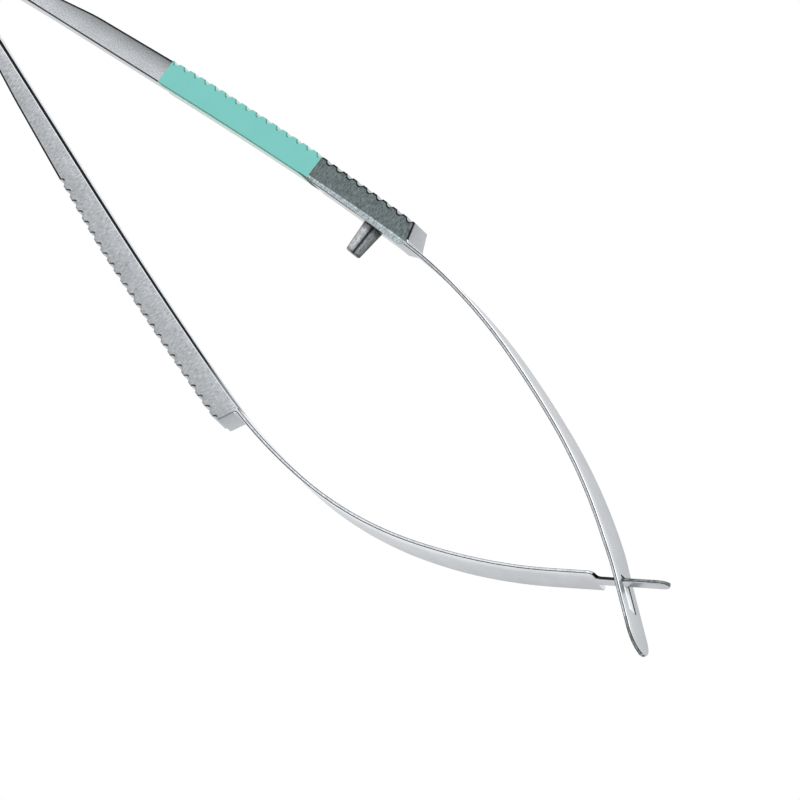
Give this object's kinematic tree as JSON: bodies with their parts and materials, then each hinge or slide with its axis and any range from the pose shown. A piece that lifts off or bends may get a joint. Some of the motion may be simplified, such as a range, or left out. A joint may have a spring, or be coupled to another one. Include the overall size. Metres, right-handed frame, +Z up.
{
  "type": "micro scissors",
  "caption": "Spring-handled micro instrument with scalloped handles, thin bowed cross-over arms joined by a slot and neck, rounded tips, a stop pin and a colour band.",
  "frame": {"origin": "middle of the whole outline, on the surface the part lies on", "axes": "+X from the rear joint to the tips, +Y towards the handle with the colour band, +Z up along the bending axes"},
  "size_m": [0.1158, 0.0234, 0.0039],
  "materials": {
    "handle_steel": "ground and brushed",
    "arm_steel": "satin",
    "pin_steel": "turned",
    "band_colour": "even matt coating"
  },
  "bodies": {
    "upper_handle": {"upper_handle": "handle_steel", "colour_band": "band_colour", "stop_pin": "pin_steel", "rear_spacer": "handle_steel", "rear_rivet_1": "pin_steel", "rear_rivet_2": "pin_steel", "lower_tab": "handle_steel"},
    "lower_handle": {"lower_handle": "handle_steel"},
    "upper_arm": {"upper_arm": "arm_steel"},
    "lower_arm": {"lower_arm": "arm_steel"}
  },
  "joints": [
    {"name": "squeeze", "type": "hinge", "parent": "upper_handle", "child": "lower_handle", "pos_m": [-0.04583, -0.00085, 0.00195], "axis": [0, 0, 1], "range_deg": [0, 16.8], "stiffness_Nm_per_rad": 0.15},
    {"name": "upper_arm_bend", "type": "hinge", "parent": "upper_handle", "child": "upper_arm", "pos_m": [0.02074, 0.01018, 0.00195], "axis": [0, 0, 1], "range_deg": [0, 26.5]},
    {"name": "lower_arm_bend", "type": "hinge", "parent": "lower_handle", "child": "lower_arm", "pos_m": [0.02075, -0.01007, 0.00195], "axis": [0, 0, 1], "range_deg": [-26.5, 0]}
  ],
  "couplings": [
    {"joint": "upper_arm_bend", "follows": "squeeze", "ratio": 1.575},
    {"joint": "lower_arm_bend", "follows": "squeeze", "ratio": -1.575}
  ]
}
